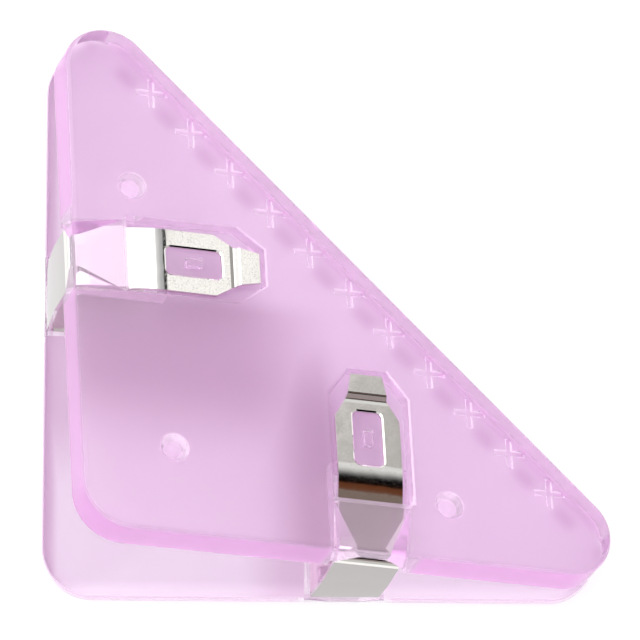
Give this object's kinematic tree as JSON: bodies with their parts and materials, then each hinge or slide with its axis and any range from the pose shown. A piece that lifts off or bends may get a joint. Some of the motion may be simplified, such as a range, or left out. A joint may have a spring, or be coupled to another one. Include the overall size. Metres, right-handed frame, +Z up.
{
  "type": "corner clip",
  "caption": "Triangular spring clip for the corners and edges of paper, with two clear plates, peg fulcrums, a toothed jaw and flat steel springs.",
  "frame": {"origin": "middle of the back plate's outer face, at the incentre of its triangle", "axes": "+X along the bottom short side, +Y along the left short side, +Z up, from the back plate towards the front plate"},
  "size_m": [0.077, 0.077, 0.0365],
  "materials": {
    "pink_plastic": "clear tinted polystyrene with a fine frosted moulding texture",
    "spring_steel": "nickel-plated spring steel, bright"
  },
  "bodies": {
    "back": {"back_plate": "pink_plastic", "left_spring": "spring_steel", "bottom_spring": "spring_steel"},
    "front": {"front_plate": "pink_plastic"}
  },
  "joints": [
    {"name": "jaw_hinge", "type": "hinge", "parent": "back", "child": "front", "pos_m": [0.00736, 0.00736, 0.00915], "axis": [0.7071, -0.7071, 0], "range_deg": [0, 26], "stiffness_Nm_per_rad": 0.2, "springref_deg": -22.92, "deforming": ["left_spring", "bottom_spring"]}
  ]
}
